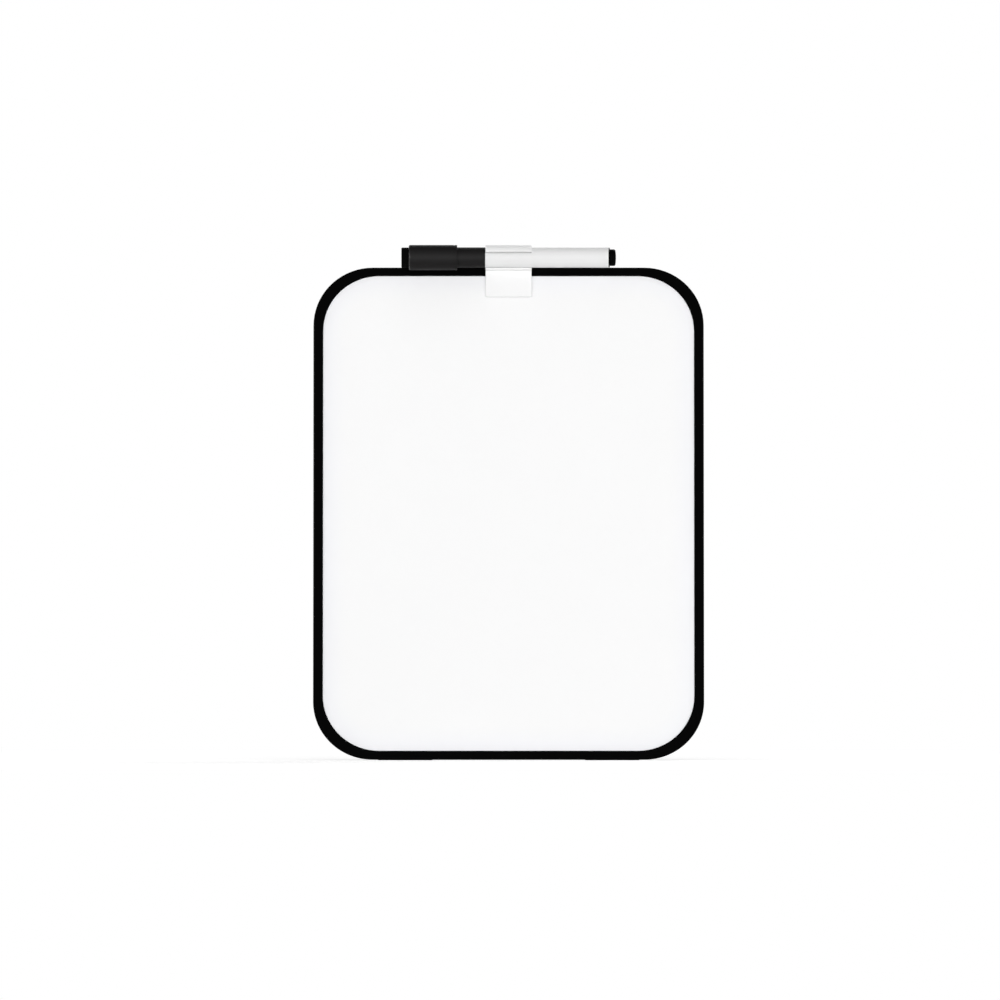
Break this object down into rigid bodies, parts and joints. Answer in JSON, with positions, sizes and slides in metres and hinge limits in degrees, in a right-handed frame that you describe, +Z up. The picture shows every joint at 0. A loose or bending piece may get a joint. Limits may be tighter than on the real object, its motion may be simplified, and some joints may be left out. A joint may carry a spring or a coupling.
{
  "type": "desk whiteboard easel",
  "caption": "Small magnetic whiteboard that leans on a fold-out leg, with a capped marker lying in a clip that slides along its top rail.",
  "frame": {"origin": "on the desk, centred left to right and front to back under the standing easel", "axes": "+Z up, +X to the right as seen from the front, +Y from the front towards the back; the writing side faces -Y"},
  "size_m": [0.216, 0.0976, 0.2848],
  "materials": {
    "frame_plastic": "satin black moulding, glossier on its outer edge",
    "coated_steel": "glossy white writing coat",
    "fibreboard": "pressed brown board",
    "cover_plastic": "fine moulded grain",
    "leg_plastic": "fine moulded grain",
    "rubber": "matt",
    "plated_steel": "bright zinc plate",
    "spring_steel": "plain",
    "white_plastic": "glossy white moulding",
    "barrel_plastic": "pale grey-white, satin",
    "section_plastic": "satin",
    "cap_plastic": "satin black moulding",
    "plug_plastic": "deeper black moulding",
    "liner_plastic": "natural plastic",
    "nib_felt": "inked felt",
    "reservoir_fibre": "inked fibre",
    "magnet": "nickel plate",
    "eraser_felt": "dense black felt"
  },
  "bodies": {
    "board": {"front_frame": "frame_plastic", "writing_sheet": "coated_steel", "core_panel": "fibreboard", "back_cover": "cover_plastic", "left_foot_pad": "rubber", "right_foot_pad": "rubber", "hinge_bracket": "plated_steel", "bracket_screws": "plated_steel", "hinge_pin": "plated_steel"},
    "leg": {"leg": "leg_plastic", "leg_foot": "rubber", "hinge_washers": "spring_steel"},
    "clip": {"marker_clip": "white_plastic"},
    "marker": {"marker_barrel": "barrel_plastic", "nib_section": "section_plastic", "marker_nib": "nib_felt", "ink_reservoir": "reservoir_fibre", "end_plug": "plug_plastic"},
    "cap": {"marker_cap": "cap_plastic", "cap_liner": "liner_plastic", "cap_magnet": "magnet", "cap_eraser": "eraser_felt"}
  },
  "joints": [
    {"name": "leg_fold", "type": "hinge", "parent": "board", "child": "leg", "pos_m": [0, 0.00815, 0.1975], "axis": [-1, 0, 0], "range_deg": [0, 24]},
    {"name": "clip_slide", "type": "slide", "parent": "board", "child": "clip", "axis": [1, 0, 0], "range_m": [-0.062, 0.062]},
    {"name": "marker_slide", "type": "slide", "parent": "clip", "child": "marker", "axis": [-1, 0, 0], "range_m": [0, 0.073]},
    {"name": "cap_pull", "type": "slide", "parent": "marker", "child": "cap", "axis": [-1, 0, 0], "range_m": [0, 0.03]}
  ]
}
